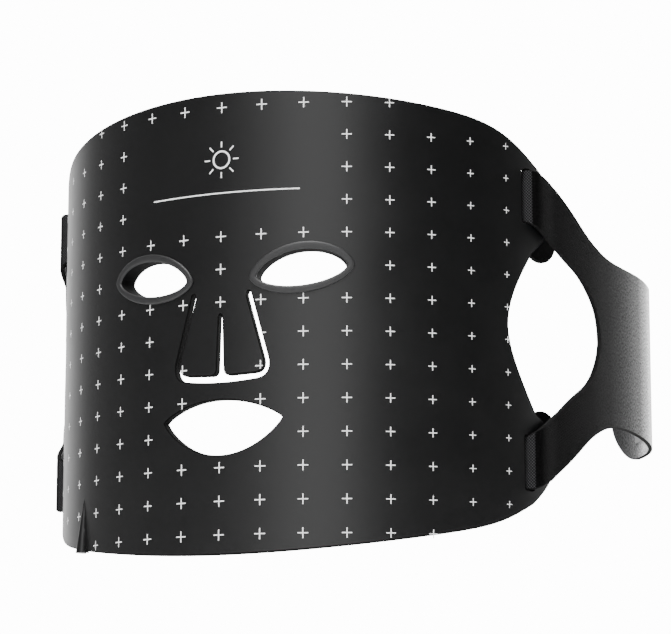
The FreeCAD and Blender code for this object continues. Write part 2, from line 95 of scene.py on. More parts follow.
room = bpy.data.worlds.new("room")
bpy.context.scene.world = room
room.use_nodes = True
tree = room.node_tree
tree.nodes.clear()
where = add(tree, "ShaderNodeTexCoord")
axes = add(tree, "ShaderNodeSeparateXYZ")
turn = add(tree, "ShaderNodeMath", operation="ARCTAN2")
flip = add(tree, "ShaderNodeMath", operation="MULTIPLY")
flip.inputs[1].default_value = -1.0
span = add(tree, "ShaderNodeMapRange")
span.inputs["From Min"].default_value = -math.pi
span.inputs["From Max"].default_value = math.pi
band = add(tree, "ShaderNodeValToRGB")
tree.links.new(where.outputs["Generated"], axes.inputs[0])
tree.links.new(axes.outputs["Y"], flip.inputs[0])
tree.links.new(axes.outputs["X"], turn.inputs[0])
tree.links.new(flip.outputs[0], turn.inputs[1])
tree.links.new(turn.outputs[0], span.inputs["Value"])
tree.links.new(span.outputs["Result"], band.inputs["Fac"])
stops = [(-180, 2.6), (-136, 2.6), (-120, 1.2), (-102, 0.34), (-60, 0.24), (-28, 0.26), (-9, 0.90), (8, 2.15),
         (24, 2.05), (38, 0.28), (54, 0.02), (108, 0.02), (136, 1.3), (180, 2.8)]
ramp = band.color_ramp
ramp.interpolation = "EASE"
while len(ramp.elements) < len(stops):
    ramp.elements.new(0.5)
for element, (angle, level) in zip(ramp.elements, stops):
    element.position = (angle + 180) / 360
for element, (angle, level) in zip(ramp.elements, stops):
    element.color = (level, level, level, 1.0)
glow = add(tree, "ShaderNodeBackground", Strength=1.0)
tree.links.new(band.outputs["Color"], glow.inputs["Color"])
paper = add(tree, "ShaderNodeBackground", Color=(1.0, 1.0, 1.0, 1.0), Strength=14.0)
path = add(tree, "ShaderNodeLightPath")
choose = add(tree, "ShaderNodeMixShader")
tree.links.new(path.outputs["Is Camera Ray"], choose.inputs[0])
tree.links.new(glow.outputs[0], choose.inputs[1])
tree.links.new(paper.outputs[0], choose.inputs[2])
surround = add(tree, "ShaderNodeOutputWorld")
tree.links.new(choose.outputs[0], surround.inputs["Surface"])


def lamp(name, place, aim, size, power):
    """Square soft light facing a point."""
    light = bpy.data.lights.new(name, "AREA")
    light.size = size
    light.energy = power
    holder = bpy.data.objects.new(name, light)
    bpy.context.scene.collection.objects.link(holder)
    holder.location = place
    holder.rotation_mode = "QUATERNION"
    holder.rotation_quaternion = (Vector(aim) - Vector(place)).to_track_quat("-Z", "Y")
    holder.visible_camera = False


lamp("high_light", (0.15, -1.0, 1.9), (0.0, 0.0, 0.0), 0.7, 75.0)
lamp("low_light", (0.35, -1.2, -1.75), (0.0, 0.0, 0.0), 0.5, 45.0)
lamp("far_light", (-1.2, 0.9, 1.3), (0.0, 0.1, 0.0), 0.9, 14.0)
lamp("rim_light", (0.85, 1.75, 0.35), (0.13, 0.15, 0.0), 0.8, 48.0)

floor_mesh = bpy.data.meshes.new("floor")
edge = 6.0
depth = cad_box[0].z - 0.20
corners = [(-edge, -edge), (edge, -edge), (edge, edge), (-edge, edge)]
floor_mesh.from_pydata([(x, y, depth) for x, y in corners], [], [(0, 1, 2, 3)])
floor = bpy.data.objects.new("floor", floor_mesh)
bpy.context.scene.collection.objects.link(floor)
pale = bpy.data.materials.new("pale_floor")
pale.use_nodes = True
tree = pale.node_tree
tree.nodes.clear()
matt = add(tree, "ShaderNodeBsdfDiffuse", Color=(0.86, 0.86, 0.86, 1.0))
clear = add(tree, "ShaderNodeBsdfTransparent")
side = add(tree, "ShaderNodeNewGeometry")
pick = add(tree, "ShaderNodeMixShader")
skin_out = add(tree, "ShaderNodeOutputMaterial")
tree.links.new(side.outputs["Backfacing"], pick.inputs[0])
tree.links.new(matt.outputs[0], pick.inputs[1])
tree.links.new(clear.outputs[0], pick.inputs[2])
tree.links.new(pick.outputs[0], skin_out.inputs["Surface"])
floor_mesh.materials.append(pale)

# Outer skin. One moulded sheet of black silicone, bent to a cylinder, 1.6 mm thick over the
# lamps. Its edges and every opening are rounded in the mould, and its face has a fine matt grain.
FRONT = 0.1300
BACK = 0.1260
JOIN = 0.1284
EYE_LEVEL = 0.1145
MM = 0.001


def wrap(flat, level):
    """Flat arc length and height, with a radius, put on the vertical cylinder of the sheet."""
    turn = flat[:, 0] / FRONT
    return np.stack([level * np.sin(turn), BACK - level * np.cos(turn), flat[:, 1] - EYE_LEVEL], 1)


def curve_through(points, step):
    """Natural cubic spline through points, by chord length, sampled at an even step."""
    p = np.array(points, float) * MM
    gaps = np.hypot(*np.diff(p, axis=0).T)
    n = max(2, int(round(gaps.sum() / step)))
    if len(p) == 2:
        return p[0] + (p[1] - p[0]) * np.linspace(0, 1, n + 1)[:-1, None]
    t = np.concatenate([[0], np.cumsum(gaps)])
    m = len(p)
    system = np.eye(m)
    right = np.zeros((m, 2))
    for i in range(1, m - 1):
        system[i, i - 1:i + 2] = gaps[i - 1], 2 * (gaps[i - 1] + gaps[i]), gaps[i]
        right[i] = 6 * ((p[i + 1] - p[i]) / gaps[i] - (p[i] - p[i - 1]) / gaps[i - 1])
    bend = np.linalg.solve(system, right)
    at = np.linspace(0, t[-1], n + 1)[:-1]
    k = np.clip(np.searchsorted(t, at, "right") - 1, 0, m - 2)
    h = gaps[k][:, None]
    a = (t[k + 1] - at)[:, None]
    b = (at - t[k])[:, None]
    return (bend[k] * a ** 3 + bend[k + 1] * b ** 3) / (6 * h) + \
        (p[k] / h - bend[k] * h / 6) * a + (p[k + 1] / h - bend[k + 1] * h / 6) * b


def closed(runs, step=0.0012, hinge=()):
    """Closed loop of runs, and a share at each point: 0 along a hinge run, 1 where the edge is free."""
    loop = []
    share = []
    for k, run in enumerate(runs):
        part = curve_through(run, step)
        loop.append(part)
        share.append(np.full(len(part), 0.0 if k in hinge else 1.0))
    loop = np.concatenate(loop)
    share = np.concatenate(share)
    if hinge:
        share = np.minimum(share, np.roll(share, 1))
    return loop, share


def flipped(runs):
    """Runs on the other side of the plane of symmetry, in the same turning sense."""
    return [[(-s, h) for s, h in reversed(run)] for run in reversed(runs)]


def signed_area(loop):
    """Area of a loop, positive where it turns anticlockwise."""
    x, y = loop.T
    return 0.5 * np.sum(x * np.roll(y, -1) - np.roll(x, -1) * y)


def inside(loop, points):
    """Even-odd test of points against a loop, whole arrays at a time."""
    x0, y0 = loop.T
    x1, y1 = np.roll(loop, -1, 0).T
    px, py = points[:, :1], points[:, 1:]
    crosses = (y0 > py) != (y1 > py)
    rise = np.where(y1 == y0, 1e-12, y1 - y0)
    return (np.sum(crosses & (px < x0 + (py - y0) * (x1 - x0) / rise), axis=1) % 2) == 1


def sheet_piece(name, outer, holes, levels, rounds, spacing, place, materials, mirror=False):
    """Closed sheet between two levels. Its faces are a triangulated grid inside the outline.

    Each edge runs from face to face through quarter circles of the given radii.
    """
    loops = []
    for k, (loop, share) in enumerate([outer] + holes):
        if (signed_area(loop) > 0) != (k == 0):
            loop, share = loop[::-1], share[::-1]
        ahead = np.roll(loop, -1, 0) - np.roll(loop, 1, 0)
        ahead /= np.linalg.norm(ahead, axis=1)[:, None]
        loops.append((loop, np.stack([-ahead[:, 1], ahead[:, 0]], 1) * share[:, None], share))
    rims = [loop + rounds[0] * inward for loop, inward, share in loops]
    low, high = rims[0].min(0), rims[0].max(0)
    xs = np.arange(low[0] + spacing / 2, high[0], spacing)
    ys = np.arange(low[1] + spacing / 2, high[1], spacing)
    grid = np.stack(np.meshgrid(xs, ys), -1).reshape(-1, 2)
    keep = inside(rims[0], grid)
    for rim in rims[1:]:
        keep &= ~inside(rim, grid)
    grid = grid[keep]
    border = np.concatenate(rims)
    near = np.ones(len(grid), bool)
    for start in range(0, len(border), 400):
        gap = grid[:, None, :] - border[None, start:start + 400]
        near &= (gap ** 2).sum(2).min(1) > (0.55 * spacing) ** 2
    grid = grid[near]
    flat = np.concatenate([border, grid])
    edges = []
    first = 0
    for rim in rims:
        ids = np.arange(first, first + len(rim))
        edges += list(zip(ids.tolist(), np.roll(ids, -1).tolist()))
        first += len(rim)
    made = geometry.delaunay_2d_cdt([Vector(p) for p in flat], edges, [], 0, 1e-7)
    tris = np.array([f for f in made[2] if len(f) == 3])
    source = np.array([o[0] if o else -1 for o in made[3]])
    tris = source[tris]
    tris = tris[(tris >= 0).all(1)]
    middle = flat[tris].mean(1)
    keep = inside(rims[0], middle)
    for rim in rims[1:]:
        keep &= ~inside(rim, middle)
    tris = tris[keep]
    corner = flat[tris]
    turn = np.cross(corner[:, 1] - corner[:, 0], corner[:, 2] - corner[:, 0])
    tris[turn < 0] = tris[turn < 0][:, ::-1]
    count = len(flat)
    rear = flat.copy()
    rear[:len(border)] = np.concatenate([loop + rounds[1] * inward for loop, inward, share in loops])
    points = [place(flat, np.full(count, levels[0])), place(rear, np.full(count, levels[1]))]
    sheets = [flat, rear]
    faces = tris.tolist() + (tris[:, ::-1] + count).tolist()
    slots = [0] * len(tris) + [1] * len(tris)
    used = 2 * count
    first = 0
    steps = 4
    for loop, inward, share in loops:
        n = len(loop)
        rings = [np.arange(first, first + n)]
        stops = [(rounds[0], 1 - math.sin(a), -(1 - math.cos(a)) * rounds[0] + levels[0])
                 for a in [math.pi / 2 * k / steps for k in range(1, steps + 1)]]
        stops += [(rounds[1], 1 - math.cos(a), (1 - math.sin(a)) * rounds[1] + levels[1])
                  for a in [math.pi / 2 * k / steps for k in range(0, steps)]]
        for radius, inset, level in stops:
            ring = loop + inward * radius * inset
            face_level = levels[0] if level > sum(levels) / 2 else levels[1]
            points.append(place(ring, face_level + (level - face_level) * share))
            sheets.append(ring)
            rings.append(np.arange(used, used + n))
            used += n
        rings.append(np.arange(first, first + n) + count)
        for a, b in zip(rings, rings[1:]):
            solid = (share > 0) | (np.roll(share, -1) > 0)
            quads = np.stack([b, np.roll(b, -1), np.roll(a, -1), a], 1)[solid]
            faces += quads.tolist()
            slots += [2] * len(quads)
        first += n
    points = np.concatenate(points)
    sheets = np.concatenate(sheets)
    if mirror:
        points[:, 0] *= -1
        faces = [f[::-1] for f in faces]
    mesh = bpy.data.meshes.new(name)
    mesh.from_pydata(points.tolist(), [], faces)
    mesh.polygons.foreach_set("material_index", np.array(slots, np.int32))
    weave = mesh.uv_layers.new(name="flat")
    ends = np.zeros(len(mesh.loops), np.int32)
    mesh.loops.foreach_get("vertex_index", ends)
    weave.data.foreach_set("uv", (sheets[ends] * 10).ravel().astype(np.float32))
    mesh.shade_smooth()
    for material in materials:
        mesh.materials.append(material)
    mesh.validate()
    piece = bpy.data.objects.new(name, mesh)
    bpy.context.scene.collection.objects.link(piece)
    soften = piece.modifiers.new("face_normals", "WEIGHTED_NORMAL")
    soften.weight = 80
    return piece


def shader_group(name, inputs, outputs):
    """Empty shader group with named sockets; returns it with its input and output nodes."""
    group = bpy.data.node_groups.new(name, "ShaderNodeTree")
    for label, kind, value in inputs:
        socket = group.interface.new_socket(label, in_out="INPUT", socket_type=kind)
        if value is not None:
            socket.default_value = value
    for label, kind in outputs:
        group.interface.new_socket(label, in_out="OUTPUT", socket_type=kind)
    return group, group.nodes.new("NodeGroupInput"), group.nodes.new("NodeGroupOutput")


def link(tree, source, target):
    """Join an output to an input."""
    tree.links.new(source, target)


# Grain group: a fine moulded texture for the bump, and a slow cloudiness for colour and gloss.
grain, entry, leave = shader_group(
    "moulded_grain",
    [("Position", "NodeSocketVector", None), ("Grain Size", "NodeSocketFloat", 0.0004),
     ("Cloud Size", "NodeSocketFloat", 0.03)],
    [("Height", "NodeSocketFloat"), ("Cloud", "NodeSocketFloat"), ("Specks", "NodeSocketFloat")])
invert = add(grain, "ShaderNodeMath", operation="DIVIDE")
invert.inputs[0].default_value = 1.0
link(grain, entry.outputs["Grain Size"], invert.inputs[1])
fine = add(grain, "ShaderNodeTexNoise", Detail=3.0, Roughness=0.6)
link(grain, entry.outputs["Position"], fine.inputs["Vector"])
link(grain, invert.outputs[0], fine.inputs["Scale"])
invert_two = add(grain, "ShaderNodeMath", operation="DIVIDE")
invert_two.inputs[0].default_value = 1.0
link(grain, entry.outputs["Cloud Size"], invert_two.inputs[1])
slow = add(grain, "ShaderNodeTexNoise", Detail=4.0, Roughness=0.55)
link(grain, entry.outputs["Position"], slow.inputs["Vector"])
link(grain, invert_two.outputs[0], slow.inputs["Scale"])
dots = add(grain, "ShaderNodeTexVoronoi", Scale=260.0)
link(grain, entry.outputs["Position"], dots.inputs["Vector"])
small = add(grain, "ShaderNodeMapRange")
small.inputs["From Min"].default_value = 0.0
small.inputs["From Max"].default_value = 0.07
small.inputs["To Min"].default_value = 1.0
small.inputs["To Max"].default_value = 0.0
link(grain, dots.outputs["Distance"], small.inputs["Value"])
link(grain, fine.outputs["Fac"], leave.inputs["Height"])
link(grain, slow.outputs["Fac"], leave.inputs["Cloud"])
link(grain, small.outputs["Result"], leave.inputs["Specks"])


def silicone(name, dark, light, rough, grain_size, lift, specks=0.0, **extra):
    """Moulded rubber-like finish: cloudy colour, grain bump, and lint specks that scatter light."""
    finish = bpy.data.materials.new(name)
    finish.use_nodes = True
    tree = finish.node_tree
    shader = tree.nodes["Principled BSDF"]
    spot = add(tree, "ShaderNodeTexCoord")
    group = add(tree, "ShaderNodeGroup", node_tree=grain)
    group.inputs["Grain Size"].default_value = grain_size
    link(tree, spot.outputs["Object"], group.inputs["Position"])
    tone = add(tree, "ShaderNodeMix", data_type="RGBA")
    tone.inputs[6].default_value = (*dark, 1.0)
    tone.inputs[7].default_value = (*light, 1.0)
    link(tree, group.outputs["Cloud"], tone.inputs[0])
    dusted = add(tree, "ShaderNodeMix", data_type="RGBA")
    dusted.inputs[7].default_value = (0.3, 0.3, 0.3, 1.0)
    weight = add(tree, "ShaderNodeMath", operation="MULTIPLY")
    weight.inputs[1].default_value = specks
    link(tree, group.outputs["Specks"], weight.inputs[0])
    link(tree, weight.outputs[0], dusted.inputs[0])
    link(tree, tone.outputs[2], dusted.inputs[6])
    link(tree, dusted.outputs[2], shader.inputs["Base Color"])
    gloss = add(tree, "ShaderNodeMapRange")
    gloss.inputs["To Min"].default_value = rough - 0.05
    gloss.inputs["To Max"].default_value = rough + 0.05
    link(tree, group.outputs["Cloud"], gloss.inputs["Value"])
    link(tree, gloss.outputs["Result"], shader.inputs["Roughness"])
    bump = add(tree, "ShaderNodeBump", Strength=0.35, Distance=lift)
    link(tree, group.outputs["Height"], bump.inputs["Height"])
    link(tree, bump.outputs["Normal"], shader.inputs["Normal"])
    for key, value in extra.items():
        shader.inputs[key.replace("_", " ")].default_value = value
    return finish


black_silicone = silicone("black_silicone", (0.0022, 0.0022, 0.0024), (0.0032, 0.0032, 0.0034), 0.32, 0.00045,
                          0.00004, specks=0.004)
# Edges and hole walls of every silicone part take this near-black matt finish, darker than each part's own
# colour: painted shade in the openings, slits and rims.
edge_painted_shade = silicone("matt_edge_painted_shade", (0.0010, 0.0010, 0.0010), (0.0018, 0.0018, 0.0018), 0.85, 0.00045,
                         0.00004, Specular_IOR_Level=0.10)
bond_silicone = silicone("bonded_face", (0.004, 0.004, 0.004), (0.006, 0.006, 0.006), 0.6, 0.0006, 0.00004)

top = [(151, 166.5), (130, 180), (100, 187.5), (50, 193), (0, 195), (-50, 193), (-100, 187.5),
       (-130, 180), (-151, 166.5)]
right_tabs = [
    [(146, 15.5), (156, 25), (159.2, 31), (160, 38.5)],
    [(160, 38.5), (159, 46), (154, 51.5), (148, 55.5)],
    [(148, 55.5), (137.5, 75), (132.4, 94.2), (137.5, 112), (147, 127.5)],
    [(147, 127.5), (154, 134), (159, 141), (160, 149)],
    [(160, 149), (159.3, 155.5), (156, 162), (151, 166.5)],
]
bottom = [(-146, 15.5), (-130, 7.8), (-100, 0.5), (-50, -6), (0, -8.5), (50, -6), (100, 0.5),
          (130, 7.8), (146, 15.5)]
sheet_outline = closed([bottom] + right_tabs + [top] + flipped(right_tabs))


def almond(grow, n=72):
    """Eye outline: a stretched circle with narrowed ends and a tilt, grown by a distance in mm."""
    t = np.linspace(0, 2 * math.pi, n, endpoint=False)
    s = 36.75 - (23.25 + grow) * np.cos(t)
    height = np.where(np.sin(t) >= 0, 12.6 + grow, 10.0 + grow)
    bulge = np.abs(np.sin(t)) ** 1.25 * height * np.sign(np.sin(t))
    return np.stack([s, 113.8 + 0.097 * (s - 36.75) + bulge], 1) * MM


def lens_shape(n=49):
    """Mouth outline: two shallow arcs, the lower one deeper, that meet at the corners."""
    u = np.linspace(-1, 1, n)[:-1]
    upper = np.stack([u * 28.5, 50 + 8.5 * (1 - u * u) ** 0.85], 1)
    lower = np.stack([-u * 28.5, 50 - 15.5 * (1 - u * u) ** 0.85], 1)
    return np.concatenate([upper, lower]) * MM


def free(loop):
    """Loop with every edge free."""
    return loop, np.ones(len(loop))


def slot_loop(low, high, start=141.0, width=5.5, corner=1.2):
    """Rounded slot for a strap end."""
    c = corner
    end = start + width
    box = [(start + c, low), (end - c, low)], [(end - c, low), (end - 0.3 * c, low + 0.3 * c), (end, low + c)]
    runs = list(box) + [[(end, low + c), (end, high - c)],
                        [(end, high - c), (end - 0.3 * c, high - 0.3 * c), (end - c, high)],
                        [(end - c, high), (start + c, high)],
                        [(start + c, high), (start + 0.3 * c, high - 0.3 * c), (start, high - c)],
                        [(start, high - c), (start, low + c)],
                        [(start, low + c), (start + 0.3 * c, low + 0.3 * c), (start + c, low)]]
    return runs


bridge = (0.75, 96.2)
brow = (12.0, 104.8)
nose_right = [
    [bridge, brow],
    [brow, (12.9, 105.8), (14.0, 105.6), (14.4, 104.4)],
    [(14.4, 104.4), (22.4, 75.5)],
    [(22.4, 75.5), (22.3, 71.6), (20.2, 68.5), (16.5, 67.3)],
]
nose_foot = [(16.5, 67.3), (8.5, 66.5), (0, 66.2), (-8.5, 66.5), (-16.5, 67.3)]
nose_runs = nose_right + [nose_foot] + flipped(nose_right) + [[(-bridge[0], bridge[1]), bridge]]
eye_hole = almond(-2.05)
openings = [closed(nose_runs, hinge=(0, 8)), free(lens_shape()), free(eye_hole), free(eye_hole * (-1, 1))]
for low, high in ((140.85, 165.15), (21.45, 45.75)):
    runs = slot_loop(low, high)
    openings += [closed(runs), closed(flipped(runs))]
outer_skin = sheet_piece("outer_skin", sheet_outline, openings, (FRONT, JOIN), (0.0005, 0.00008), 0.003,
                         wrap, [black_silicone, bond_silicone, edge_painted_shade])
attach(outer_skin, "mask")
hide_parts("outer_shell")

# Skin-side liner. Softer dark silicone bonded to the outer skin, with a small clear window over
# each lamp. Its rim is rounded so that it doesn't mark the face.
soft_silicone = silicone("liner_silicone", (0.012, 0.012, 0.013), (0.018, 0.018, 0.020), 0.52, 0.0008,
                         0.00008, specks=0.01)
liner = sheet_piece("skin_liner", sheet_outline, openings, (JOIN, BACK), (0.00008, 0.0008), 0.003, wrap,
                    [bond_silicone, soft_silicone, edge_painted_shade])
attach(liner, "mask")
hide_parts("inner_liner")

window_clear = silicone("lamp_window", (0.60, 0.57, 0.54), (0.70, 0.67, 0.64), 0.28, 0.0012, 0.00003,
                        Subsurface_Weight=0.2)


def window_centres(node):
    """Flat places of the lamps of one node, from its own mesh, on the half-pitch grid."""
    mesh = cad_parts[node].data
    co = np.zeros(len(mesh.vertices) * 3, np.float32)
    mesh.vertices.foreach_get("co", co)
    co = co.reshape(-1, 3)
    s = np.arctan2(co[:, 0], BACK - co[:, 1]) * FRONT
    half_column, row = 0.00941, 0.0145
    cell = np.stack([np.round(s / half_column), np.round((co[:, 2] + EYE_LEVEL) / row)], 1)
    return np.unique(cell, axis=0) * (half_column, row)


def domes(name, centres, radius, rise, material):
    """Low round domes on the skin side: height falls as one minus the square of the distance."""
    share = np.array([0.0, 0.55, 0.85, 1.0])
    turn = np.linspace(0, 2 * math.pi, 12, endpoint=False)
    ring = np.stack([np.cos(turn), np.sin(turn)], 1)
    local = np.concatenate([[[0.0, 0.0]]] + [ring * r for r in share[1:]])
    lift = rise * (1 - (local ** 2).sum(1))
    flat = (centres[:, None, :] + local[None] * radius).reshape(-1, 2)
    points = wrap(flat, BACK - np.tile(lift, len(centres)))
    faces = []
    for k in range(12):
        j = (k + 1) % 12
        faces.append((0, 1 + j, 1 + k))
        for r in (0, 12):
            faces.append((1 + r + k, 1 + r + j, 13 + r + j, 13 + r + k))
    size = len(local)
    every = [tuple(v + size * c for v in f) for c in range(len(centres)) for f in faces]
    mesh = bpy.data.meshes.new(name)
    mesh.from_pydata(points.tolist(), [], every)
    mesh.shade_smooth()
    mesh.materials.append(material)
    piece = bpy.data.objects.new(name, mesh)
    bpy.context.scene.collection.objects.link(piece)
    return piece


for label in ("red", "infrared"):
    windows = domes("windows_" + label, window_centres("leds_" + label), 0.0028, 0.0006, window_clear)
    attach(windows, "mask")

# Nose flaps. Two tongues of the same silicone, cut free along the sides, foot and middle of the
# nose. Each bends out along the bridge, where it runs into the sheet with no joint; here both are built lying
# in the sheet and are attached to no body.
flap_runs = [
    [bridge, (1.6, 71.6)],
    [(1.6, 71.6), (2.5, 69.7), (4.5, 69.1)],
    [(4.5, 69.1), (16.1, 69.7)],
    [(16.1, 69.7), (18.8, 70.5), (20.35, 73.0), (20.25, 76.0)],
    [(20.25, 76.0), brow],
    [brow, bridge],
]
flap_outline = closed(flap_runs, hinge=(5,))
for side, sense in (("left", 1), ("right", -1)):
    for layer, node, levels, rounds, faces in (
            ("skin", "flap_skin_", (FRONT, JOIN), (0.0005, 0.00008), [black_silicone, bond_silicone]),
            ("liner", "flap_liner_", (JOIN, BACK), (0.00008, 0.0008), [bond_silicone, soft_silicone])):
        flap = sheet_piece("flap_%s_%s" % (layer, side), flap_outline, [], levels, rounds, 0.002, wrap,
                           faces + [edge_painted_shade], mirror=sense < 0)
        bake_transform(flap)
        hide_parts(node + side)

# Eye inserts. Soft grey silicone grommets pressed through the eye holes: a proud almond rim,
# a neck through both skins, a lip behind, and a short shield towards the eye.
grey_silicone = silicone("grey_silicone", (0.010, 0.010, 0.0105), (0.014, 0.014, 0.0145), 0.52, 0.0005,
                         0.00005, specks=0.01)


def grommet(name, side):
    """Almond outline carried round a closed section of (growth, distance from the front face), in mm."""
    section = np.array([
        (0.0, 0.02), (0.0, 0.35), (-0.10, 0.66), (-0.38, 0.90), (-0.80, 1.0), (-1.7, 1.06), (-2.6, 1.0),
        (-3.02, 0.90), (-3.30, 0.62), (-3.4, 0.2), (-3.4, -1.5), (-3.4, -4.5), (-3.4, -6.9), (-3.28, -7.28),
        (-2.95, -7.5), (-2.55, -7.5), (-2.2, -7.28), (-2.1, -6.9), (-2.1, -5.5), (-1.95, -5.2), (-1.1, -5.15),
        (-0.75, -5.0), (-0.6, -4.65), (-0.65, -4.25), (-0.9, -4.05), (-2.0, -4.02), (-2.1, -3.9),
        (-2.1, -0.1)])
    rings = [wrap(almond(grow, 96), FRONT + level * MM) for grow, level in section]
    points = np.concatenate(rings)
    n = 96
    m = len(section)
    a = np.arange(m)[:, None] * n + np.arange(n)[None, :]
    b = np.roll(a, -1, 1)
    quads = np.stack([a, np.roll(a, -1, 0), np.roll(b, -1, 0), b], -1).reshape(-1, 4)
    if side < 0:
        points[:, 0] *= -1
        quads = quads[:, ::-1]
    mesh = bpy.data.meshes.new(name)
    mesh.from_pydata(points.tolist(), [], quads.tolist())
    mesh.shade_smooth()
    mesh.materials.append(grey_silicone)
    mesh.materials.append(edge_painted_shade)
    # The bore wall takes the near-black edge finish in place of the grommet's grey: painted shade inside the
    # eye opening.
    wall = (section[:, 1] < 0.5) & (section[:, 1] > -7.0) & (section[:, 0] < -3.1)
    mesh.polygons.foreach_set("material_index", np.repeat(wall, n).astype(np.int32))
    piece = bpy.data.objects.new(name, mesh)
    bpy.context.scene.collection.objects.link(piece)
    return piece


for side, sense in (("left", 1), ("right", -1)):
    insert = grommet("eye_grommet_" + side, sense)
    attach(insert, "mask")
    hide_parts("eye_insert_" + side)

# Printed marks and emblem. White ink screened on the front face: a cross over each lamp place, and a
# plain lamp emblem over a rule. The ink is slightly uneven.
ink = bpy.data.materials.new("white_ink")
ink.use_nodes = True
tree = ink.node_tree
shader = tree.nodes["Principled BSDF"]
spot = add(tree, "ShaderNodeTexCoord")
cover = add(tree, "ShaderNodeGroup", node_tree=grain)
cover.inputs["Grain Size"].default_value = 0.0003
cover.inputs["Cloud Size"].default_value = 0.004
link(tree, spot.outputs["Object"], cover.inputs["Position"])
tone = add(tree, "ShaderNodeMix", data_type="RGBA")
tone.inputs[6].default_value = (0.86, 0.86, 0.86, 1.0)
tone.inputs[7].default_value = (0.97, 0.97, 0.97, 1.0)
link(tree, cover.outputs["Cloud"], tone.inputs[0])
link(tree, tone.outputs[2], shader.inputs["Base Color"])
shader.inputs["Roughness"].default_value = 0.55
bump = add(tree, "ShaderNodeBump", Strength=0.3, Distance=0.00004)
link(tree, cover.outputs["Height"], bump.inputs["Height"])
link(tree, bump.outputs["Normal"], shader.inputs["Normal"])


def dress(node, material):
    """Give a carried-over node its finish."""
    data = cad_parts[node].data
    data.materials.clear()
    data.materials.append(material)


for node in ("printed_marks", "forehead_emblem", "flap_mark_left", "flap_mark_right"):
    dress(node, ink)

# Hidden parts inside the sheet. An amber circuit film with copper runs, two kinds of lamp package,
# pale plates that stiffen the strap slots, and the inlet's socket, contacts and lead.
film = bpy.data.materials.new("circuit_film")
film.use_nodes = True
tree = film.node_tree
shader = tree.nodes["Principled BSDF"]
spot = add(tree, "ShaderNodeTexCoord")
runs = add(tree, "ShaderNodeTexWave", Scale=90.0, Distortion=1.5, Detail=1.0, bands_direction="Z")
link(tree, spot.outputs["Object"], runs.inputs["Vector"])
copper = add(tree, "ShaderNodeMix", data_type="RGBA")
copper.inputs[6].default_value = (0.55, 0.25, 0.05, 1.0)
copper.inputs[7].default_value = (0.75, 0.42, 0.20, 1.0)
link(tree, runs.outputs["Fac"], copper.inputs[0])
link(tree, copper.outputs[2], shader.inputs["Base Color"])
shader.inputs["Roughness"].default_value = 0.35
dress("flex_circuit", film)
dress("inlet_lead", film)
dress("leds_red", silicone("red_lamp", (0.70, 0.35, 0.12), (0.80, 0.45, 0.18), 0.2, 0.001, 0.00001))
dress("leds_infrared", silicone("infrared_lamp", (0.55, 0.58, 0.60), (0.66, 0.68, 0.70), 0.2, 0.001, 0.00001))
dress("slot_plates", silicone("plate_plastic", (0.62, 0.62, 0.60), (0.70, 0.70, 0.68), 0.5, 0.0006, 0.00002))
dress("inlet_cover", black_silicone)
dress("inlet_socket", silicone("socket_plastic", (0.010, 0.010, 0.010), (0.016, 0.016, 0.016), 0.3, 0.0008,
                               0.00002))
dress("inlet_contacts", silicone("plated_metal", (0.78, 0.66, 0.38), (0.84, 0.72, 0.44), 0.25, 0.0004,
                                 0.00001, Metallic=1.0))

# Knit strap wings. One piece of black laminated knit a side, 2 mm thick, die cut to a Y. Each arm lies
# on the sheet's outer tab, turns round the slot bar and ends in a tail behind it.
knit, entry, leave = shader_group(
    "warp_knit",
    [("Cloth", "NodeSocketVector", None), ("Pitch", "NodeSocketFloat", 0.0107)],
    [("Height", "NodeSocketFloat"), ("Shade", "NodeSocketFloat"), ("Nap", "NodeSocketFloat")])
split = add(knit, "ShaderNodeSeparateXYZ")
link(knit, entry.outputs["Cloth"], split.inputs[0])
rows = []
for socket, factor in (("X", 1.0), ("Y", 0.8)):
    phase = add(knit, "ShaderNodeMath", operation="DIVIDE")
    link(knit, split.outputs[socket], phase.inputs[0])
    link(knit, entry.outputs["Pitch"], phase.inputs[1])
    wave = add(knit, "ShaderNodeMath", operation="MULTIPLY")
    wave.inputs[1].default_value = 2 * math.pi * factor
    link(knit, phase.outputs[0], wave.inputs[0])
    sine = add(knit, "ShaderNodeMath", operation="SINE")
    link(knit, wave.outputs[0], sine.inputs[0])
    rows.append(sine)
mesh_holes = add(knit, "ShaderNodeMath", operation="MULTIPLY")
link(knit, rows[0].outputs[0], mesh_holes.inputs[0])
link(knit, rows[1].outputs[0], mesh_holes.inputs[1])
fuzz = add(knit, "ShaderNodeTexNoise", Scale=420.0, Detail=3.0, Roughness=0.7)
link(knit, entry.outputs["Cloth"], fuzz.inputs["Vector"])
mixed = add(knit, "ShaderNodeMath", operation="MULTIPLY_ADD")
mixed.inputs[1].default_value = 0.5
link(knit, mesh_holes.outputs[0], mixed.inputs[0])
link(knit, fuzz.outputs["Fac"], mixed.inputs[2])
shade = add(knit, "ShaderNodeMapRange")
shade.inputs["From Min"].default_value = 0.0
shade.inputs["From Max"].default_value = 1.1
link(knit, mixed.outputs[0], shade.inputs["Value"])
tufts = add(knit, "ShaderNodeTexNoise", Scale=95.0, Detail=4.0, Roughness=0.75)
link(knit, entry.outputs["Cloth"], tufts.inputs["Vector"])
nap = add(knit, "ShaderNodeMapRange")
nap.inputs["From Min"].default_value = 0.38
nap.inputs["From Max"].default_value = 0.62
link(knit, tufts.outputs["Fac"], nap.inputs["Value"])
link(knit, nap.outputs["Result"], leave.inputs["Nap"])
link(knit, mixed.outputs[0], leave.inputs["Height"])
link(knit, shade.outputs["Result"], leave.inputs["Shade"])


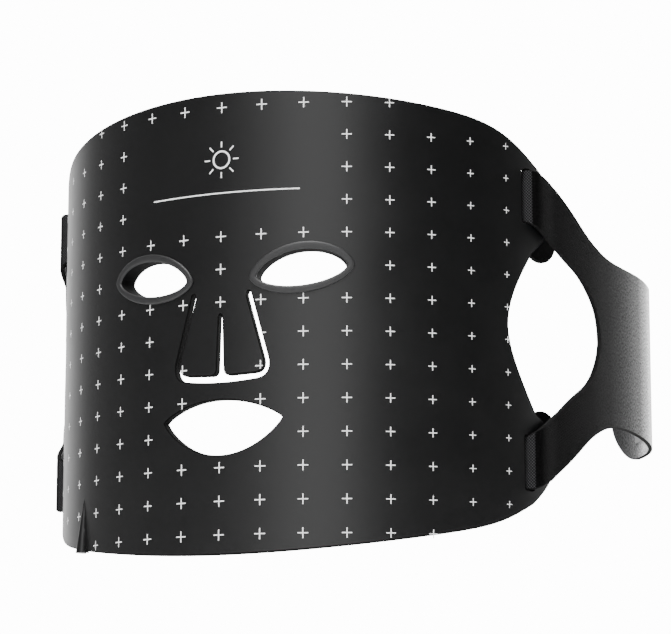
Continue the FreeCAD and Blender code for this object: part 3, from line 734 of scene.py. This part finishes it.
def cloth(name, dark, light, pitch, lift, sheen, rim=None, lead=0.0, fold=None):
    """Knit finish read from the piece's flat map, where one unit is 0.1 m.

    The rim colour is painted sheen: the base colour is lightened where the cloth is seen edge on, standing in
    for the bright surround's reflection at grazing angles, and the lead makes it show sooner. The fold colour
    is a painted highlight on the part that turns round the slot bar, broken by the knit's mesh pattern.
    """
    finish = bpy.data.materials.new(name)
    finish.use_nodes = True
    tree = finish.node_tree
    shader = tree.nodes["Principled BSDF"]
    flat = add(tree, "ShaderNodeUVMap", uv_map="flat")
    group = add(tree, "ShaderNodeGroup", node_tree=knit)
    group.inputs["Pitch"].default_value = pitch
    link(tree, flat.outputs["UV"], group.inputs["Cloth"])
    tone = add(tree, "ShaderNodeMix", data_type="RGBA")
    tone.inputs[6].default_value = (*dark, 1.0)
    tone.inputs[7].default_value = (*light, 1.0)
    link(tree, group.outputs["Nap"], tone.inputs[0])
    colour = tone.outputs[2]
    # Painted highlight: the turn round the slot bar is lightened by its place on the flat map, where the fold
    # faces the light, broken by the knit's mesh pattern.
    if fold:
        along = add(tree, "ShaderNodeSeparateXYZ")
        link(tree, flat.outputs["UV"], along.inputs[0])
        turned = add(tree, "ShaderNodeMapRange")
        turned.inputs["From Min"].default_value = -0.150
        turned.inputs["From Max"].default_value = -0.155
        link(tree, along.outputs["X"], turned.inputs["Value"])
        holes = add(tree, "ShaderNodeMath", operation="MULTIPLY")
        link(tree, turned.outputs["Result"], holes.inputs[0])
        gap = add(tree, "ShaderNodeMath", operation="MULTIPLY_ADD", use_clamp=True)
        gap.inputs[1].default_value = 1.8
        gap.inputs[2].default_value = -0.40
        link(tree, group.outputs["Shade"], gap.inputs[0])
        link(tree, gap.outputs[0], holes.inputs[1])
        painted_fold_highlight = add(tree, "ShaderNodeMix", data_type="RGBA")
        painted_fold_highlight.inputs[7].default_value = (*fold, 1.0)
        link(tree, holes.outputs[0], painted_fold_highlight.inputs[0])
        link(tree, colour, painted_fold_highlight.inputs[6])
        colour = painted_fold_highlight.outputs[2]
    # Painted rim sheen: the base colour goes towards the rim colour as the surface turns edge on, speckled by
    # the nap, in place of a reflection of the bright surround.
    if rim:
        facing = add(tree, "ShaderNodeLayerWeight", Blend=0.5)
        grazing = add(tree, "ShaderNodeValToRGB")
        fades = [(0.50, 0.0), (0.58, 0.008), (0.63, 0.022), (0.68, 0.044), (0.77, 0.12), (0.85, 0.42),
                 (0.92, 1.0)]
        while len(grazing.color_ramp.elements) < len(fades):
            grazing.color_ramp.elements.new(0.5)
        for element, (spot, level) in zip(grazing.color_ramp.elements, fades):
            element.position = spot
        for element, (spot, level) in zip(grazing.color_ramp.elements, fades):
            element.color = (level, level, level, 1.0)
        sooner = add(tree, "ShaderNodeMath", operation="ADD")
        sooner.inputs[1].default_value = lead
        link(tree, facing.outputs["Facing"], sooner.inputs[0])
        link(tree, sooner.outputs[0], grazing.inputs["Fac"])
        tufted = add(tree, "ShaderNodeMath", operation="MULTIPLY_ADD")
        tufted.inputs[1].default_value = 1.7
        tufted.inputs[2].default_value = 0.15
        link(tree, group.outputs["Nap"], tufted.inputs[0])
        caught = add(tree, "ShaderNodeMath", operation="MULTIPLY", use_clamp=True)
        link(tree, grazing.outputs["Color"], caught.inputs[0])
        link(tree, tufted.outputs[0], caught.inputs[1])
        painted_rim_sheen = add(tree, "ShaderNodeMix", data_type="RGBA")
        painted_rim_sheen.inputs[7].default_value = (*rim, 1.0)
        link(tree, caught.outputs[0], painted_rim_sheen.inputs[0])
        link(tree, colour, painted_rim_sheen.inputs[6])
        colour = painted_rim_sheen.outputs[2]
    link(tree, colour, shader.inputs["Base Color"])
    shader.inputs["Roughness"].default_value = 0.85
    shader.inputs["Specular IOR Level"].default_value = 0.03
    shader.inputs["Sheen Weight"].default_value = sheen
    shader.inputs["Sheen Roughness"].default_value = 0.4
    bump = add(tree, "ShaderNodeBump", Strength=0.6, Distance=lift)
    link(tree, group.outputs["Height"], bump.inputs["Height"])
    link(tree, bump.outputs["Normal"], shader.inputs["Normal"])
    return finish


# Face and lining take a painted rim sheen at grazing angles; the face also takes a painted highlight over the
# fold.
face_knit = cloth("face_knit", (0.0008, 0.0008, 0.0008), (0.0030, 0.0030, 0.0031), 0.0107, 0.00025, 0.0,
                  rim=(0.95, 0.95, 0.95), fold=(0.042, 0.042, 0.044))
lining_knit = cloth("lining_knit", (0.006, 0.006, 0.006), (0.026, 0.026, 0.027), 0.0085, 0.00020, 0.1,
                    rim=(0.80, 0.80, 0.81), lead=0.13)
tail_knit = cloth("tail_knit", (0.0008, 0.0008, 0.0008), (0.0040, 0.0040, 0.0041), 0.0085, 0.00020, 0.0)
cut_edge = cloth("cut_edge", (0.004, 0.004, 0.004), (0.012, 0.012, 0.012), 0.0060, 0.00010, 0.0)

MID = FRONT + 0.0013
BEND = 0.1602
THICK = 0.0020
INNER_MID = BACK - 0.0008 - THICK / 2
LIFT_OFF = 0.0013
FOLD_RADIUS = (MID + LIFT_OFF - INNER_MID) / 2
FOLD_ARC = 0.14375 + FOLD_RADIUS
LAID = (BEND - FOLD_ARC) / FRONT * MID


def arc_frame(turn):
    """Outward and forward unit vectors in plan at each turn from the front."""
    return (np.stack([np.sin(turn), -np.cos(turn)], -1), np.stack([np.cos(turn), np.sin(turn)], -1))


def strap_path(opening, near, far):
    """Plan map of one strap: laid on the sheet, turned round the slot bar, and two arcs behind.

    Length zero is where the strap leaves the sheet. The laid part stands off the sheet a little
    more towards the slot, as a squared cosine. Level is the distance outwards from the middle.
    """
    change = 0.120
    corner = BEND / FRONT
    root = np.array([0.0, BACK]) + MID * arc_frame(np.array(corner))[0]
    start = corner + math.radians(opening)
    hub = FOLD_ARC / FRONT
    out, along = arc_frame(np.array(hub))
    pivot = np.array([0.0, BACK]) + (MID + LIFT_OFF - FOLD_RADIUS) * out

    def place(flat, level):
        length = flat[:, 0]
        level = level[:, None]
        first, _ = arc_frame(start + np.clip(length, 0, change) / near)
        wing = root - near * arc_frame(np.array(start))[0] + (near + level) * first
        last = start + change / near
        centre = root - near * arc_frame(np.array(start))[0] + (near - far) * arc_frame(np.array(last))[0]
        second, _ = arc_frame(last + np.maximum(length - change, 0) / far)
        tip = centre + (far + level) * second
        back_to_fold = np.clip(-length / LAID, 0, 1)
        rise = LIFT_OFF * np.sin(back_to_fold * math.pi / 2) ** 2
        laid_out, _ = arc_frame((BEND + np.clip(length, -LAID, 0) * FRONT / MID) / FRONT)
        laid = np.array([0.0, BACK]) + (MID + rise[:, None] + level) * laid_out
        turn = (np.maximum(-length - LAID, 0) / FOLD_RADIUS)[:, None]
        fold = pivot + (FOLD_RADIUS + level) * (np.cos(turn) * out - np.sin(turn) * along)
        plan = np.where((length > change)[:, None], tip, wing)
        plan = np.where((length < 0)[:, None], laid, plan)
        plan = np.where((length < -LAID)[:, None], fold, plan)
        return np.column_stack([plan, flat[:, 1] - EYE_LEVEL])

    return place


CENTRE = 94.2
root_at = -(LAID + math.pi * FOLD_RADIUS) / MM
lie = -LAID / MM
edge_run = [(1.2, 63.6), (5.2, 60.9), (14.2, 54.6), (25.5, 46.6), (33, 42.8), (43, 39.6), (54, 38.3),
            (70, 38.0)]
crotch_up = [(1.2, 36.2), (7.6, 32.4), (15.8, 28.2), (26, 20.2), (32.2, 12.4), (34.6, 5.0), (35.2, -1.0)]
crotch_down = [(1.2, 36.4), (6.8, 32.1), (14.8, 26.9), (23.8, 21.0), (30.6, 13.0), (34.0, 6.0), (35.2, 1.0)]
wing_end = 184
end_half = 40.0
end_round = 26
corner_run = [(wing_end - end_round * (1 - math.sin(t)), end_half - end_round * (1 - math.cos(t)))
              for t in np.linspace(0, math.pi / 2, 6)]


def about(run, sense):
    """Half heights above or below the strap's centre line."""
    return [(x, CENTRE + sense * h) for x, h in run]


def arm_runs(sense, drop, crotch):
    """Runs from one edge of an arm round its end to the other edge, over the fold."""
    outer = [(-5.0, 66.9 + drop / 2), (lie - 3, 70.6 + drop), (root_at, 70.6 + drop)]
    inner = [(root_at, 46.9 + drop), (-18.0, 46.9 + drop), crotch[0]]
    return [about([edge_run[0], outer[0]], sense), about(outer[:2], sense), about(outer[1:], sense),
            about([outer[2], inner[0]], sense), about(inner[:2], sense), about(inner[1:], sense),
            about(crotch, sense)]


wing_runs = [about(edge_run, -1), about([edge_run[-1], corner_run[0]], -1), about(corner_run, -1)]
wing_runs += [[about(corner_run, -1)[-1], about(corner_run, 1)[-1]], about(corner_run, 1)[::-1]]
wing_runs += [about([corner_run[0], edge_run[-1]], 1), about(edge_run, 1)[::-1]]
wing_runs += arm_runs(1, 0.0, crotch_up)
wing_runs += [run[::-1] for run in arm_runs(-1, 1.8, crotch_down)[::-1]]
wing_outline = closed(wing_runs)
for side, sense, curl in (("left", 1, (0.0, 0.212, 0.085)), ("right", -1, (-10.0, 0.300, 0.300))):
    path_map = strap_path(*curl)
    wing = sheet_piece("strap_" + side, wing_outline, [], (THICK / 2, -THICK / 2), (0.0005, 0.0005), 0.0016,
                       path_map, [face_knit, lining_knit, cut_edge], mirror=sense < 0)
    crease = path_map(np.array([[-0.0012, 0.0], [0.0030, 0.0]]), np.zeros(2))
    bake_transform(wing)
    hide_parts("wing_" + side, "strap_fold_upper_" + side, "strap_fold_lower_" + side)


# Strap tails. The end of each arm, turned back behind the sheet, with a round lobe. Hook tape on the
# tail grips loop tape on the back of the sheet.
start_s = FOLD_ARC / MM
lobe_s = 158.0
lobe_round = 12.3
for name, sense_h, middle in (("upper", 1, 137.6), ("lower", -1, 45.9)):
    lobe = [(lobe_s + lobe_round * math.cos(t), middle - sense_h * lobe_round * math.sin(t))
            for t in np.linspace(0, math.pi, 15)]
    drop = 0.0 if sense_h > 0 else 1.8
    edge_top = CENTRE + sense_h * (70.6 + drop)
    shoulder = (161.5, CENTRE + sense_h * 61.0)
    runs = [[(start_s, edge_top), shoulder], [shoulder, lobe[0]],
            lobe, [lobe[-1], (start_s, CENTRE + sense_h * (46.9 + drop))],
            [(start_s, CENTRE + sense_h * (46.9 + drop)), (start_s, edge_top)]]
    tail_outline = closed(runs, 0.0009)
    for side, sense in (("left", 1), ("right", -1)):
        tail = sheet_piece("tail_%s_%s" % (name, side), tail_outline, [],
                           (INNER_MID + THICK / 2, INNER_MID - THICK / 2), (0.0005, 0.0005), 0.0016,
                           wrap, [tail_knit, tail_knit, cut_edge], mirror=sense < 0)
        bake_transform(tail)
        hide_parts("strap_tail_%s_%s" % (name, side))

# Hook and loop tapes. Woven black tape, the hooks finer and glossier than the brushed loops.
hook_tape = silicone("hook_tape", (0.010, 0.010, 0.010), (0.030, 0.030, 0.030), 0.45, 0.0009, 0.0004)
loop_tape = silicone("loop_tape", (0.016, 0.016, 0.017), (0.045, 0.045, 0.047), 0.95, 0.0006, 0.0005,
                     Sheen_Weight=0.4)
for level in ("upper", "lower"):
    for side in ("left", "right"):
        dress("hook_pad_%s_%s" % (level, side), hook_tape)
        dress("loop_pad_%s_%s" % (level, side), loop_tape)
dress("closure_hook_left", silicone("closure_hook", (0.10, 0.10, 0.10), (0.25, 0.25, 0.25), 0.7, 0.0009,
                                    0.0004))
dress("closure_loop_right", loop_tape)
